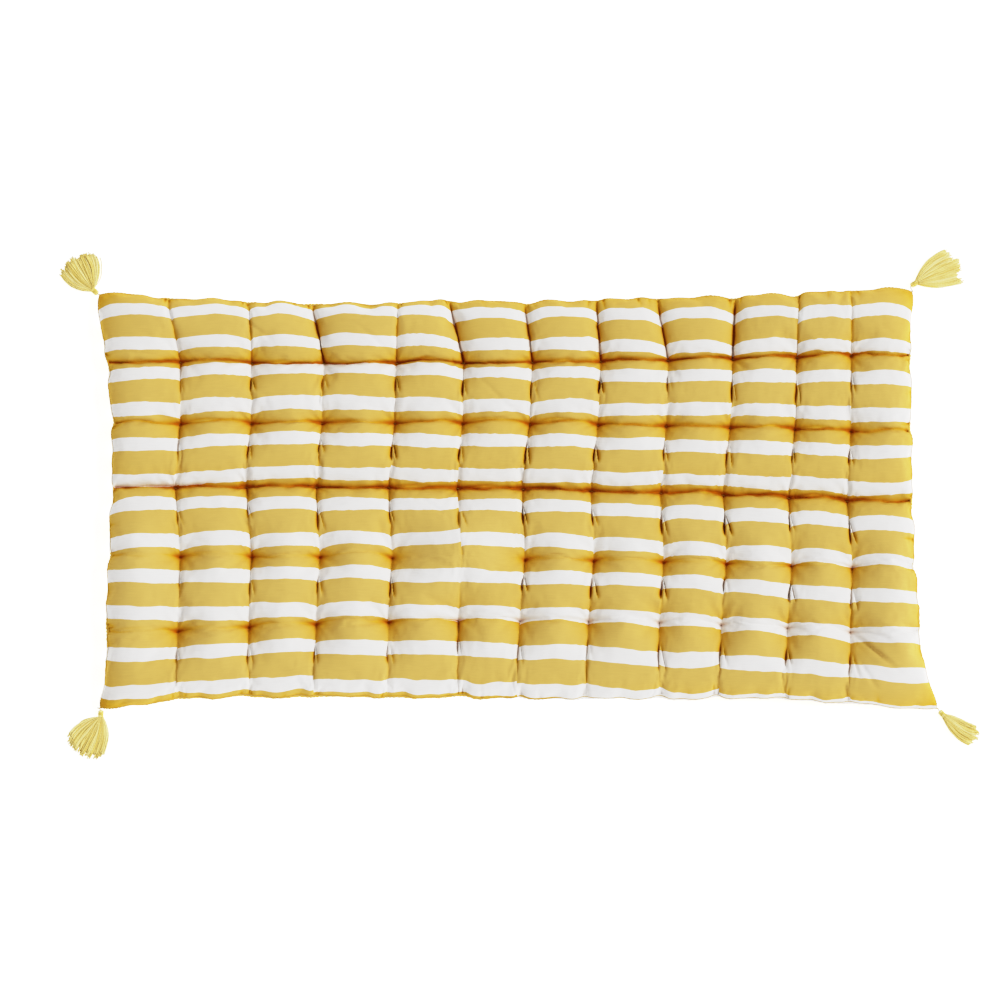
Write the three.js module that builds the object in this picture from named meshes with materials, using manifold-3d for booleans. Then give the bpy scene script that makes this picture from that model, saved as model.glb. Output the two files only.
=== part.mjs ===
// A tufted floor mattress: a printed cotton cover, filled and tied through in rows, with a yarn tassel
// at each corner. Millimetres; +X runs along the length, +Y to the back edge, +Z up from the floor.
import * as THREE from "three";
import { mergeVertices } from "three/addons/utils/BufferGeometryUtils.js";
import Module from "manifold-3d";

const wasm = await Module();
wasm.setup();

// Heights of the filled cover
const CROWN = 61; // top of a puff
const TUFT_TOP = 19; // where a tie pulls the top panel down to
const TUFT_UNDER = 9; // where it pulls the underside up to
const SEAM_HEIGHT = 27; // the seam along the sides
const EAR_HEIGHT = 13; // the seam at the pointed corners, which droop
const COLUMN_CREASE = 17; // depth of the creases that run from back to front
const UNTIED_DEPTH = 5; // depth left at the one point that has lost its tie
const UNDER_ROW_CREASE = 5;
const UNDER_COLUMN_CREASE = 4;
const PUFF_PROFILE = { flatness: 2.2, steepness: 0.6 }; // of a puff's crown from crease to crease
const UNEVEN_PUFFS = { by: 3, perColumn: 2.1, perRow: 3.7 }; // higher and lower puffs, in no clear order

// Outline of the seam
const SIDE_DRAW_IN = 20; // how far each side pulls in between its corners
const EAR_SHARPNESS = 6;
const SCALLOP = 3; // how far a puff pushes the seam out between two creases
const SCALLOP_REACH = 1 / 3; // the share of the outer puff that bulges with it
const NOTCH = 4; // how far a crease pulls the seam in
const CORNERS = {
  back_left: { x: -622, y: 301 },
  back_right: { x: 596, y: 306 },
  front_right: { x: 629, y: -325 },
  front_left: { x: -617, y: -324 },
};

// Tied rows, from the back edge to the front one: y at the left, middle and right tie, sideways shift,
// depth of the crease along the row, and extra notches where that crease meets the seam
const ROWS = [
  { left: 196, middle: 196, right: 206, shift: 1, crease: 28, notchLeft: 2, notchRight: 0 },
  { left: 102, middle: 102, right: 91, shift: 1, crease: 27, notchLeft: 4, notchRight: 8 },
  { left: 6, middle: 4, right: -14, shift: -5, crease: 34, notchLeft: 12, notchRight: 0 },
  { left: -98, middle: -103, right: -115, shift: 3, crease: 24, notchLeft: 0, notchRight: 0 },
  { left: -210, middle: -194, right: -211, shift: 0, crease: 24, notchLeft: 2, notchRight: 0 },
];

// Tied columns, from left to right: x at the middle row, and how far the column leans over from the
// back row to the front one
const COLUMNS = [
  { x: -500, lean: -1 },
  { x: -394, lean: -1 },
  { x: -290, lean: -10 },
  { x: -182, lean: -10 },
  { x: -80, lean: -6 },
  { x: 17, lean: -18 },
  { x: 119, lean: -18 },
  { x: 222, lean: -13 },
  { x: 316, lean: -18 },
  { x: 413, lean: -16 },
  { x: 500, lean: -3 },
];
const UNTIED = { column: 5, row: 4 };
const ACROSS = COLUMNS.length + 1; // puffs along the length
const DEEP = ROWS.length + 1; // puffs from back to front
const LEAN_SPAN = ROWS.length - 1;

// Where each puff is sampled between two creases
const TOP_STEPS = [0, 0.08, 0.25, 0.5, 0.75, 0.92];
const UNDER_FLAT = 0.2; // the underside lies flat from here to the same distance from the next crease
const UNDER_STEPS = [0, UNDER_FLAT, 1 - UNDER_FLAT];
const UNDER_TURN = 0.07; // one more line near the seam, where the side wall turns under

// Tassels: place of the neck's upper end, the way that the neck points, the way that the fan of
// strands points, half the fan's angle, and the strands' length
const TASSELS = {
  back_left: { x: -625, y: 305, neckTurn: 138, fanTurn: 118, spread: 38, length: 54 },
  back_right: { x: 592, y: 318, neckTurn: 30, fanTurn: 19, spread: 27, length: 66 },
  front_right: { x: 633, y: -329, neckTurn: -48, fanTurn: -40, spread: 22, length: 60 },
  front_left: { x: -613, y: -329, neckTurn: 268, fanTurn: 240, spread: 38, length: 60 },
};
const NECK = { radius: 4.2, waist: 3.4, mouth: 4.8, length: 11, height: 5.6 };
const ROOTS_WITHIN = 4; // strands come out of the neck's mouth inside this radius
const ROOT_DEPTH = 1.2; // how far a strand's root is sunk into the neck
const LAYERS = [10, 14, 14, 10]; // strands in each layer, from the floor up
const STRAND_ROOT = 0.38; // width of a strand's three-sided section at its root
const STRAND_TIP = 2.5;
const STRAND_HEIGHT = 0.8; // of its width
const STRAND_STATIONS = [0, 0.22, 0.55, 1];
const LAYER_RISE = 2.8; // between two layers of strands at their tips
const UNEVEN_STRANDS = { by: 0.07, perPlace: 5.3, perLayer: 2.9, shorterAtSides: 0.25 };
const FAN_BEND = { alongNeck: 0.16, outwards: 0.1, settle: 0.4 }; // of a strand's length
const BINDING = { thread: 1, turns: 3, sides: 10 };
const HANGER = { radius: 0.9, bend: 0.4, steps: 5 };
const GAP = 0.3; // between pieces

const GOLD_CLOTH = new THREE.MeshStandardMaterial({ color: 0xd9b447, roughness: 0.9, metalness: 0 });
const LEMON_YARN = new THREE.MeshStandardMaterial({ color: 0xe9dc78, roughness: 0.95, metalness: 0 });
const LEMON_THREAD = new THREE.MeshStandardMaterial({ color: 0xd8c35c, roughness: 0.9, metalness: 0 });
const WHITE_CORD = new THREE.MeshStandardMaterial({ color: 0xf2efe9, roughness: 0.9, metalness: 0 });

const mix = (a, b, t) => a + (b - a) * t;

// A curve through three values at the left, middle and right
function throughThree(left, middle, right, t) {
  return left * (1 - t) * (1 - 2 * t) + middle * 4 * t * (1 - t) + right * t * (2 * t - 1);
}

// 0 at the corners of a side and 1 along its drawn-in middle
function drawnIn(t) {
  return 1 - Math.abs(2 * t - 1) ** EAR_SHARPNESS;
}

const onSide = (column, row) => column === 0 || column === ACROSS || row === 0 || row === DEEP;

function columnX(column, row) {
  const { x, lean } = COLUMNS[column - 1];
  return x + (lean * (row - DEEP / 2)) / LEAN_SPAN;
}

// A point of the lattice, seen from above. Column 0 and row 0 lie on the seam, and so do the last ones.
function latticePoint(column, row) {
  const { back_left, back_right, front_left, front_right } = CORNERS;
  if (onSide(column, row)) {
    const left = column === 0;
    const back = row === 0;
    if ((left || column === ACROSS) && (back || row === DEEP)) {
      return CORNERS[`${back ? "back" : "front"}_${left ? "left" : "right"}`];
    }
    if (left || column === ACROSS) {
      const [from, to] = left ? [back_left, front_left] : [back_right, front_right];
      const { left: leftY, right: rightY, notchLeft, notchRight } = ROWS[row - 1];
      const y = left ? leftY : rightY;
      const t = (from.y - y) / (from.y - to.y);
      const inward = SIDE_DRAW_IN * drawnIn(t) + NOTCH + (left ? notchLeft : notchRight);
      return { x: mix(from.x, to.x, t) + (left ? inward : -inward), y };
    }
    const [from, to] = back ? [back_left, back_right] : [front_left, front_right];
    const x = columnX(column, row);
    const t = (x - from.x) / (to.x - from.x);
    const inward = SIDE_DRAW_IN * drawnIn(t) + NOTCH;
    return { x, y: mix(from.y, to.y, t) + (back ? -inward : inward) };
  }
  const { left, middle, right, shift } = ROWS[row - 1];
  const t = (column - 1) / (COLUMNS.length - 1);
  return { x: columnX(column, row) + shift, y: throughThree(left, middle, right, t) };
}

function seamHeight(column, row) {
  const alongSide = column === 0 || column === ACROSS ? row / DEEP : column / ACROSS;
  return mix(EAR_HEIGHT, SEAM_HEIGHT, drawnIn(alongSide));
}

// The crown of a puff across its width: steep by the creases and round on top
function crownShape(t) {
  return (1 - Math.abs(2 * t - 1) ** PUFF_PROFILE.flatness) ** PUFF_PROFILE.steepness;
}

// The underside of a puff: turned up by the creases and flat where it lies
function flatShape(t) {
  return Math.sin((Math.PI / 2) * Math.min(1, t / UNDER_FLAT, (1 - t) / UNDER_FLAT));
}

const isUntied = (column, row) => column === UNTIED.column && row === UNTIED.row;

// Each panel: its level at the middle of a puff, which way its creases go from there, and their depths
const TOP = {
  level: CROWN,
  sense: -1,
  shape: crownShape,
  tie: CROWN - TUFT_TOP,
  untied: UNTIED_DEPTH,
  rowCrease: (row) => ROWS[row - 1].crease,
  columnCrease: COLUMN_CREASE,
};
const UNDER = {
  level: 0,
  sense: 1,
  shape: flatShape,
  tie: TUFT_UNDER,
  untied: 0,
  rowCrease: () => UNDER_ROW_CREASE,
  columnCrease: UNDER_COLUMN_CREASE,
};

function pointDepth(panel, column, row) {
  if (onSide(column, row)) {
    return Math.abs(panel.level - seamHeight(column, row));
  }
  return isUntied(column, row) ? panel.untied : panel.tie;
}

// Depth along one side of a puff, between two points of the lattice
function creaseDepth(panel, from, to, alongRow, t) {
  const atEnds = [pointDepth(panel, ...from), pointDepth(panel, ...to)];
  const outline = alongRow ? from[1] === 0 || from[1] === DEEP : from[0] === 0 || from[0] === ACROSS;
  if (outline) {
    return mix(...atEnds, t);
  }
  const free = isUntied(...from) || isUntied(...to);
  const full = alongRow ? panel.rowCrease(from[1]) : panel.columnCrease;
  const middle = free ? panel.untied : full;
  return mix(atEnds[t < 0.5 ? 0 : 1], middle, panel.shape(t));
}

// How far an outer puff bulges past the straight line of the seam
function bulge(along, fromSeam) {
  return SCALLOP * Math.sin(Math.PI * along) * Math.max(0, 1 - fromSeam / SCALLOP_REACH) ** 2;
}

// How much higher or lower than the others one puff is
function unevenness(column, row) {
  const { by, perColumn, perRow } = UNEVEN_PUFFS;
  return by * Math.sin(perColumn * column + perRow * row);
}

// A point of one panel, where u counts puffs from the left and v from the back
function panelPoint(panel, u, v) {
  const column = Math.min(Math.floor(u), ACROSS - 1);
  const row = Math.min(Math.floor(v), DEEP - 1);
  const s = u - column;
  const t = v - row;
  const [a, b] = [latticePoint(column, row), latticePoint(column + 1, row)];
  const [c, d] = [latticePoint(column, row + 1), latticePoint(column + 1, row + 1)];
  let x = mix(mix(a.x, b.x, s), mix(c.x, d.x, s), t);
  let y = mix(mix(a.y, b.y, s), mix(c.y, d.y, s), t);
  x -= column === 0 ? bulge(t, s) : 0;
  x += column === ACROSS - 1 ? bulge(t, 1 - s) : 0;
  y += row === 0 ? bulge(s, t) : 0;
  y -= row === DEEP - 1 ? bulge(s, 1 - t) : 0;

  const nearColumn = s < 0.5 ? column : column + 1;
  const nearRow = t < 0.5 ? row : row + 1;
  const acrossPuff = 1 - panel.shape(s);
  const alongPuff = 1 - panel.shape(t);
  const rowSide = creaseDepth(panel, [column, nearRow], [column + 1, nearRow], true, s);
  const columnSide = creaseDepth(panel, [nearColumn, row], [nearColumn, row + 1], false, t);
  const corner = pointDepth(panel, nearColumn, nearRow);
  const depth = alongPuff * rowSide + acrossPuff * columnSide - acrossPuff * alongPuff * corner;
  const uneven = panel.sense < 0 ? unevenness(column, row) : 0;
  const lift = uneven * (1 - acrossPuff) * (1 - alongPuff);
  return new THREE.Vector3(x, y, panel.level + lift + panel.sense * depth);
}

function gridLines(puffs, steps) {
  const lines = [];
  for (let puff = 0; puff < puffs; puff += 1) {
    lines.push(...steps.map((step) => puff + step));
  }
  return [...lines, puffs];
}

// The points of a panel on a grid of lines, and the grid's rim as a closed loop from the back left,
// with each rim point's share of the way round
function panelGrid(panel, us, vs, positions) {
  const first = positions.length / 3;
  const width = us.length;
  for (const v of vs) {
    for (const u of us) {
      positions.push(...panelPoint(panel, u, v).toArray());
    }
  }
  const at = (i, j) => first + j * width + i;
  const [lastI, lastJ] = [us.length - 1, vs.length - 1];
  const rim = [];
  const side = (count, place, start) => {
    for (let k = 0; k < count; k += 1) {
      rim.push({ index: place(k), along: start + k / count });
    }
  };
  side(lastI, (k) => at(k, 0), 0);
  side(lastJ, (k) => at(lastI, k), 1);
  side(lastI, (k) => at(lastI - k, lastJ), 2);
  side(lastJ, (k) => at(0, lastJ - k), 3);
  return { at, lastI, lastJ, rim };
}

function gridFaces({ at, lastI, lastJ }, faceUp, faces) {
  for (let j = 0; j < lastJ; j += 1) {
    for (let i = 0; i < lastI; i += 1) {
      const [a, b, c, d] = [at(i, j), at(i + 1, j), at(i + 1, j + 1), at(i, j + 1)];
      faces.push(...(faceUp ? [a, d, c, a, c, b] : [a, c, d, a, b, c]));
    }
  }
}

// Joins the seam to the underside's own rim, which has fewer points
function joinRims(outer, inner, faces) {
  const pick = (rim, k) => rim[k % rim.length].index;
  const along = (rim, k) => (k < rim.length ? rim[k].along : 4);
  let [i, j] = [0, 0];
  while (i < outer.length || j < inner.length) {
    const stepOuter = j >= inner.length || (i < outer.length && along(outer, i + 1) <= along(inner, j + 1));
    if (stepOuter) {
      faces.push(pick(outer, i), pick(outer, i + 1), pick(inner, j));
      i += 1;
    } else {
      faces.push(pick(outer, i), pick(inner, j + 1), pick(inner, j));
      j += 1;
    }
  }
}

function geometryOf(positions, faces) {
  const geometry = new THREE.BufferGeometry();
  geometry.setAttribute("position", new THREE.Float32BufferAttribute(positions, 3));
  geometry.setIndex(faces);
  geometry.computeVertexNormals();
  return geometry;
}

function filledCover() {
  const positions = [];
  const faces = [];
  const underLines = (puffs) => {
    const inside = gridLines(puffs, UNDER_STEPS).slice(1, -1);
    return [UNDER_TURN, ...inside, puffs - UNDER_TURN];
  };
  const top = panelGrid(TOP, gridLines(ACROSS, TOP_STEPS), gridLines(DEEP, TOP_STEPS), positions);
  const under = panelGrid(UNDER, underLines(ACROSS), underLines(DEEP), positions);
  gridFaces(top, true, faces);
  gridFaces(under, false, faces);
  joinRims(top.rim, under.rim, faces);
  return geometryOf(positions, faces);
}

const degrees = (angle) => (angle * Math.PI) / 180;
const heading = (turn) => new THREE.Vector3(Math.cos(degrees(turn)), Math.sin(degrees(turn)), 0);

function asSolid(geometry) {
  const bare = geometry.clone();
  bare.deleteAttribute("normal");
  bare.deleteAttribute("uv");
  const merged = mergeVertices(bare);
  return new wasm.Manifold(
    new wasm.Mesh({
      numProp: 3,
      vertProperties: new Float32Array(merged.attributes.position.array),
      triVerts: new Uint32Array(merged.index.array),
    }),
  );
}

function asGeometry(solid) {
  const { vertProperties, triVerts } = solid.getMesh();
  return geometryOf(Array.from(vertProperties), Array.from(triVerts));
}

// One strand with three sides, its flat side down, thin at the root and thick at the cut end
function strandGeometry(path) {
  const positions = [];
  const faces = [];
  STRAND_STATIONS.forEach((t, station) => {
    const centre = path.getPoint(t);
    const ahead = path.getTangent(t);
    const sideways = new THREE.Vector3(-ahead.y, ahead.x, 0).normalize();
    const size = mix(STRAND_ROOT, STRAND_TIP, t);
    const left = centre.clone().addScaledVector(sideways, size / 2);
    const right = centre.clone().addScaledVector(sideways, -size / 2);
    const ridge = centre.clone().add(new THREE.Vector3(0, 0, size * STRAND_HEIGHT));
    positions.push(...left.toArray(), ...right.toArray(), ...ridge.toArray());
    if (station > 0) {
      const [now, before] = [station * 3, station * 3 - 3];
      for (let k = 0; k < 3; k += 1) {
        const next = (k + 1) % 3;
        faces.push(before + k, now + next, before + next, before + k, now + k, now + next);
      }
    }
  });
  const end = (STRAND_STATIONS.length - 1) * 3;
  faces.push(0, 1, 2, end, end + 2, end + 1);
  return geometryOf(positions, faces);
}

// A tassel's neck end, where its strands come out
function neckEnd({ x, y, neckTurn }) {
  return new THREE.Vector3(x, y, NECK.height).addScaledVector(heading(neckTurn), NECK.length);
}

// The route of one strand: out along the neck, then down to its layer and outwards in the fan
function strandRoute(tassel, layer, place) {
  const across = (place + 0.5) / LAYERS[layer] - 0.5;
  const up = (layer + 0.5) / LAYERS.length - 0.5;
  const width = 2 * ROOTS_WITHIN * Math.sqrt(1 - (2 * up) ** 2);
  const ahead = heading(tassel.neckTurn);
  const sideways = new THREE.Vector3(-ahead.y, ahead.x, 0);
  const root = neckEnd(tassel).addScaledVector(ahead, -ROOT_DEPTH);
  root.addScaledVector(sideways, across * width);
  root.z += up * 2 * ROOTS_WITHIN;
  const { by, perPlace, perLayer, shorterAtSides } = UNEVEN_STRANDS;
  const uneven = 1 + by * Math.sin(perPlace * place + perLayer * layer);
  const length = tassel.length * uneven * (1 - shorterAtSides * across * across);
  const out = heading(tassel.fanTurn + 2 * tassel.spread * across);
  const tip = neckEnd(tassel).addScaledVector(out, length);
  tip.z = layer * LAYER_RISE;
  const leave = root.clone().addScaledVector(ahead, length * FAN_BEND.alongNeck);
  leave.addScaledVector(out, length * FAN_BEND.outwards);
  const settle = tip.clone().addScaledVector(out, -length * FAN_BEND.settle);
  return new THREE.CubicBezierCurve3(root, leave, settle, tip);
}

// Turns a shape made round +Y so that it stands round the neck, with +Y along the neck
function alongNeck(geometry, { x, y, neckTurn }, distance) {
  const turn = new THREE.Quaternion().setFromUnitVectors(new THREE.Vector3(0, 1, 0), heading(neckTurn));
  geometry.applyQuaternion(turn);
  const start = new THREE.Vector3(x, y, NECK.height).addScaledVector(heading(neckTurn), distance);
  return geometry.translate(start.x, start.y, start.z);
}

function neckGeometry() {
  const { radius, waist, mouth, length } = NECK;
  const profile = [
    [0, 0],
    [radius * 0.7, length * 0.04],
    [radius, length * 0.18],
    [waist, length * 0.32],
    [waist, length * 0.68],
    [mouth, length * 0.84],
    [mouth, length],
    [0, length],
  ];
  return new THREE.LatheGeometry(profile.map(([r, h]) => new THREE.Vector2(r, h)), 12);
}

function tasselGeometry(tassel) {
  let solid = asSolid(alongNeck(neckGeometry(), tassel, 0));
  LAYERS.forEach((strands, layer) => {
    for (let place = 0; place < strands; place += 1) {
      solid = solid.add(asSolid(strandGeometry(strandRoute(tassel, layer, place))));
    }
  });
  return asGeometry(solid);
}

// Turns of thread round the neck's waist, as one ring with a rounded ridge for each turn
function bindingGeometry(tassel) {
  const { thread, turns, sides } = BINDING;
  const inside = NECK.waist + GAP;
  const low = -(turns * thread) / 2;
  const profile = [[inside, low]];
  for (let turn = 0; turn < turns; turn += 1) {
    const base = low + turn * thread;
    profile.push([inside + thread * 0.5, base], [inside + thread, base + thread / 2]);
  }
  profile.push([inside + thread * 0.5, -low], [inside, -low], [inside, low]);
  const ring = new THREE.LatheGeometry(profile.map(([r, h]) => new THREE.Vector2(r, h)), sides);
  return alongNeck(ring, tassel, NECK.length * 0.5);
}

// The short thick thread from a corner of the cover down to the top of its tassel's neck
function hangerGeometry(corner, tassel) {
  const ear = new THREE.Vector3(corner.x, corner.y, EAR_HEIGHT);
  const neck = new THREE.Vector3(tassel.x, tassel.y, NECK.height);
  const away = new THREE.Vector3(neck.x - ear.x, neck.y - ear.y, 0).normalize();
  const into = heading(tassel.neckTurn);
  const start = ear.clone().addScaledVector(away, GAP);
  const end = neck.clone().addScaledVector(into, -GAP);
  const reach = start.distanceTo(end) * HANGER.bend;
  const leave = start.clone().addScaledVector(away, reach);
  const arrive = end.clone().addScaledVector(into, -reach);
  const section = new THREE.Shape().absarc(0, 0, HANGER.radius, 0, 2 * Math.PI);
  return new THREE.ExtrudeGeometry(section, {
    steps: HANGER.steps,
    curveSegments: 3,
    extrudePath: new THREE.CubicBezierCurve3(start, leave, arrive, end),
  });
}

function piece(name, geometry, material) {
  const mesh = new THREE.Mesh(geometry, material);
  mesh.name = name;
  return mesh;
}

const floorMattress = new THREE.Group();
floorMattress.add(piece("mattress", filledCover(), GOLD_CLOTH));
for (const [corner, tassel] of Object.entries(TASSELS)) {
  floorMattress.add(piece(`tassel_${corner}`, tasselGeometry(tassel), LEMON_YARN));
  floorMattress.add(piece(`binding_${corner}`, bindingGeometry(tassel), LEMON_THREAD));
  floorMattress.add(piece(`hanger_${corner}`, hangerGeometry(CORNERS[corner], tassel), WHITE_CORD));
}

// The origin is below the middle of the whole outline, tassels included
const outline = new THREE.Box3().setFromObject(floorMattress);
const middle = outline.getCenter(new THREE.Vector3());
floorMattress.position.set(-middle.x, -middle.y, 0);

export default floorMattress;
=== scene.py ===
# A tufted floor mattress: a striped cotton cover, filled and tied through in rows, with a yarn tassel
# at each corner. Metres, +X along the length, +Y to the back edge, +Z up from the floor.
import math
import random

import bmesh
import bpy
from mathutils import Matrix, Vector
from mathutils.geometry import interpolate_bezier


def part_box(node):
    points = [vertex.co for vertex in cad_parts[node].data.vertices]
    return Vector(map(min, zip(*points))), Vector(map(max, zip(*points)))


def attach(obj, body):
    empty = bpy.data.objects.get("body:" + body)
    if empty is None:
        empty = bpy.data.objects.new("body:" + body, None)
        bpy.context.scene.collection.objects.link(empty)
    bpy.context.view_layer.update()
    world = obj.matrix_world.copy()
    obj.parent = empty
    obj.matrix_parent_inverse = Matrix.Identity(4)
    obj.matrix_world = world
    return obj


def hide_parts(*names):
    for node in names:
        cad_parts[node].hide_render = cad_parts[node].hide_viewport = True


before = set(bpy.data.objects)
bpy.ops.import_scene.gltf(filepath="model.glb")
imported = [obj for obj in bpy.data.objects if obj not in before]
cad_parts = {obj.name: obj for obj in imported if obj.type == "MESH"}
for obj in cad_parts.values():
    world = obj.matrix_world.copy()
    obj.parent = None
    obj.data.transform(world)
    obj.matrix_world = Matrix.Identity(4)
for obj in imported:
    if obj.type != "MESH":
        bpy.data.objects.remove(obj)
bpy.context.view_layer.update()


def table(parts, *rows):
    """Rows of values, with the names in parts."""
    return [dict(zip(parts.split(), row)) for row in rows]


# Heights of the filled cover
TUFT_TOP = 0.019  # where a tie pulls the top panel down to
TUFT_UNDER = 0.009  # where it pulls the underside up to
SEAM_HEIGHT = 0.027
EAR_HEIGHT = 0.013  # the seam at the pointed corners, which droop
COLUMN_CREASE = 0.040  # height of the creases that run from back to front
UNDER_ROW_CREASE = 0.005
UNDER_COLUMN_CREASE = 0.004
UNDER_FLAT = 0.2  # the underside lies flat from here to the same distance from the next crease
PUFF_FLATNESS = 2.2
PUFF_STEEPNESS = 0.6

# Outline of the seam
EAR_SHARPNESS = 6
SCALLOP = 0.004
SCALLOP_REACH = 1 / 3
# How much of the scallop the outer puffs of each row have. Below 0 they are hollow and the corner stands out
SIDE_BULGES = dict(left=(1, 1, 1, 1, 1, -1.2), right=(0, 1, 1, 1, 1, -1.2))
# Waves in the seam: how many to a puff, and their size
PUCKERS = [(1.3, 0.0010), (2.1, 0.0009), (3.4, 0.0005)]
WALL = dict(bulge=0.009, reach=0.16)  # the underside's edge bulges out below the seam
CORNERS = {
    "back_left": Vector((-0.622, 0.301)),
    "back_right": Vector((0.596, 0.306)),
    "front_right": Vector((0.629, -0.325)),
    "front_left": Vector((-0.617, -0.324)),
}

# Tied rows from the back edge to the front one: y at the left, middle and right tie, sideways shift,
# height of the crease along the row, how firmly it is held, depth of the sharp fold in it, the share of
# that depth left halfway between two ties, and how far the left and right seams are drawn in there
ROWS = table(
    "left middle right shift crease held fold faded inward",
    (0.196, 0.196, 0.206, 0.001, 0.032, 0.30, 0.008, 0.7, (0.015, 0.012)),
    (0.102, 0.102, 0.091, 0.001, 0.034, 0.25, 0.006, 0.6, (0.022, 0.017)),
    (0.006, 0.004, -0.014, -0.005, 0.028, 0.40, 0.009, 0.8, (0.023, 0.023)),
    (-0.098, -0.103, -0.115, 0.003, 0.040, 0.0, 0.003, 0.1, (0.015, 0.023)),
    (-0.210, -0.194, -0.211, 0.0, 0.040, 0.0, 0.003, 0.2, (0.011, 0.021)),
)
# Tied columns from left to right: x at the middle row, the lean from the back row to the front one, how
# far the back and front seams are drawn in there, and the pleat from the back seam to the first tie,
# with how far aside it starts at the seam and its share of the deepest pleat's depth
COLUMNS = table(
    "x lean back front aside pleat",
    (-0.500, -0.001, 0.009, 0.013, -0.018, 0.25),
    (-0.394, -0.001, 0.014, 0.016, -0.004, 0.35),
    (-0.290, -0.010, 0.021, 0.016, -0.019, 0.9),
    (-0.182, -0.010, 0.018, 0.014, 0.000, 0.35),
    (-0.080, -0.006, 0.016, 0.016, -0.021, 1.0),
    (0.017, -0.018, 0.019, 0.013, -0.015, 0.75),
    (0.119, -0.018, 0.016, 0.013, -0.010, 0.8),
    (0.222, -0.013, 0.014, 0.013, -0.018, 0.8),
    (0.316, -0.018, 0.012, 0.014, 0.001, 0.9),
    (0.413, -0.016, 0.007, 0.013, 0.000, 0.3),
    (0.500, -0.003, 0.002, 0.007, 0.000, 0.2),
)
UNTIED = (5, 4)  # the column and row of the one place in the lattice that has no tie
ACROSS = len(COLUMNS) + 1
DEEP = len(ROWS) + 1

# The cloth's squares along one puff, and how it is filled
TOP_SQUARES = 24
UNDER_SQUARES = 12
CREASE_DENSITY = 0.5  # how much the squares close up towards the creases
GRID_ERROR = 1e-4  # places on the cloth are the same within this share of a puff
START_CROWN = 0.040
FILLING = dict(pressure=25, growth=0.055, frames=20)
# The cotton's weight, and how stiff and how quickly at rest it is
COTTON = dict(
    quality=5,
    mass=0.15,
    air_damping=1,
    bending_model="ANGULAR",
    tension_stiffness=40,
    compression_stiffness=40,
    shear_stiffness=10,
    bending_stiffness=0.3,
    tension_damping=5,
    compression_damping=5,
    shear_damping=5,
    bending_damping=0.5,
    pin_stiffness=1,
    use_pressure=True,
    shrink_max=0,
)
GATHERS = dict(height=0.0008, folds=7, reach=0.010)  # folds of spare cloth round each tie
# The sharp fold that runs forward from a tie along its column, and the pleat back to the back seam. held is
# how firmly the cloth is held down in it, and starts the share of a puff in which the pleat gets deeper
DART = dict(length=0.32, height=0.030, held=0.3)
BACK_PLEAT = dict(height=0.026, held=0.4, fold=0.010, starts=0.25, slant=0.25)
PUFF = 0.1  # the usual size of a puff
FOLDS = dict(width=0.0016, wander=0.0022)  # half a narrow fold's width, and how far its line strays
# The folds along the rows: how much weaker one is in places and in how many waves, and the waves of its
# line. Then the second fold that some have: their share, how far beside the first it lies, its share of the
# first one's depth, and the share of the puff that it runs along
ROW_FOLDS = dict(
    weaker=0.35, weaker_waves=9, line_waves=14, paired=0.6, beside=0.004, second=0.4, second_reach=0.625
)
# The folds along the columns: depth, waves to a puff, and how uneven their depth and line are
COLUMN_FOLDS = dict(depth=0.0040, waves=7, uneven=0.4)
# The pair of folds that spreads in front of each tie, each value from its least to its most: where the
# pair starts, its length and depth, how fast the left and right folds spread, the right one's share of the
# depth, the share of the column fold's own depth, and the turn of that fold's waves
DART_PAIRS = dict(
    start=(0.016, 0.026),
    length=(0.0301, 0.0473),
    depth=(0.0065, 0.0156),
    left=(0, 0.04),
    right=(0.17, 0.30),
    share=(0.3, 0.8),
    line=(0.1, 1),
    turn=(0, 2 * math.pi),
)
# How deep the pairs are at the left end and how that grows with each column, the left fold's width, how
# high the cloth stands between the two folds, as a share of their depth, how late in its length a pair is
# deepest, and how soon the cloth between its folds rises
PAIR_SHAPE = dict(at_left=0.3, growth=0.14, width=0.0027, ridge=0.6, deepest=1.4, rise=3)
# The folds that the seam gathers: their length, the deepest one's depth and the least share of it, half
# their width, how far aside of a column or row they lie, their slant, and how far off one is still felt.
# Then how often there is an extra one between two columns or rows, and where
TUCKS = dict(length=(0.008, 0.022), depth=0.006, least=0.3, width=0.0018, aside=0.14, slant=0.3, near=0.12)
EXTRA_TUCKS = dict(often=0.35, place=(0.3, 0.7))
# Long shallow wrinkles, from one place to another, counted in puffs from the left and from the back edge
WRINKLES = table(
    "start end depth",
    ((5.15, 1.2), (5.75, 1.85), 0.0016),
    ((4.35, 3.1), (4.95, 3.55), 0.0014),
    ((11.0, 5.0), (11.65, 5.6), 0.0050),
    ((11.1, 5.4), (11.35, 5.85), 0.0030),
    ((1.85, 0.25), (2.35, 0.7), 0.0020),
    ((0.75, 0.9), (0.2, 0.85), 0.0016),
    ((3.45, 0.3), (3.9, 0.85), 0.0016),
    ((0.4, 2.3), (0.95, 2.15), 0.0014),
)
WRINKLE_WIDTH = 0.003
WRINKLE_REACH = 3  # in widths, on each side
# Painted shade, which darkens the cloth's colour where shade falls: how much in the valleys, between the two
# heights, in the narrow folds, round the ties, beside the seam and on the edge below it, and how far from
# each of these
PAINTED_SHADE = dict(
    valley=0.5, high=0.054, low=0.019, valley_power=1.5,
    fold=0.85, fold_depth=0.006, fold_width=0.0016,
    tie=0.6, tie_reach=0.0035, tie_wide=0.5,
    seam=0.6, seam_reach=0.0028, wall=0.4, wall_reach=0.025,
)
CREASE_BOW = 0.003  # how far a crease along a row strays sideways between two ties
UNEVEN = dict(level=0.0008, growth=0.35)
SEAM_HELD = 0.25
SEAM_CRISP = 0.7
SEAM_SMOOTHING = 4

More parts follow.
